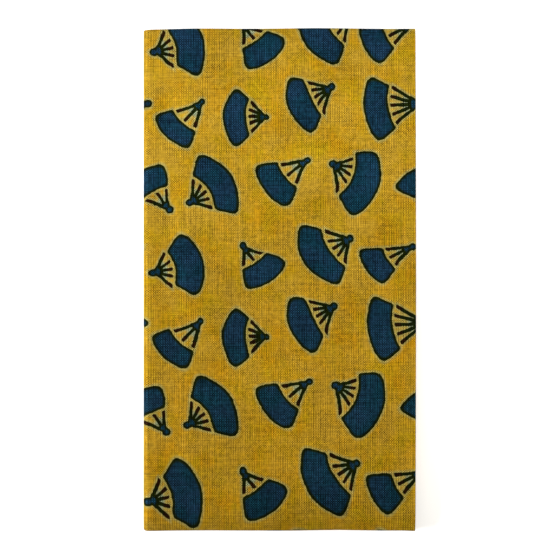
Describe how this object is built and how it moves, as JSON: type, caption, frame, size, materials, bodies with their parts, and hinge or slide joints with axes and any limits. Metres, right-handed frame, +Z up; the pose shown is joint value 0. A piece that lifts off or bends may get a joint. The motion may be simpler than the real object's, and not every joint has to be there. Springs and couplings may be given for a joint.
{
  "type": "folded tenugui towel",
  "caption": "Thin printed cotton hand towel with a scattered folding-fan pattern, folded flat along its length and then across its width into a slim packet.",
  "frame": {"origin": "centre of the base, where the folded towel lies on a surface", "axes": "+X across the packet towards its free selvedges, +Y along it away from the folded spine, +Z up through the layers"},
  "size_m": [0.1228, 0.2266, 0.0073],
  "materials": {
    "dyed_cotton": "matt plain-weave cotton, mustard ground with scattered dark blue folding fans, dyed through"
  },
  "bodies": {
    "root": {"towel_cloth": "dyed_cotton"}
  },
  "joints": []
}
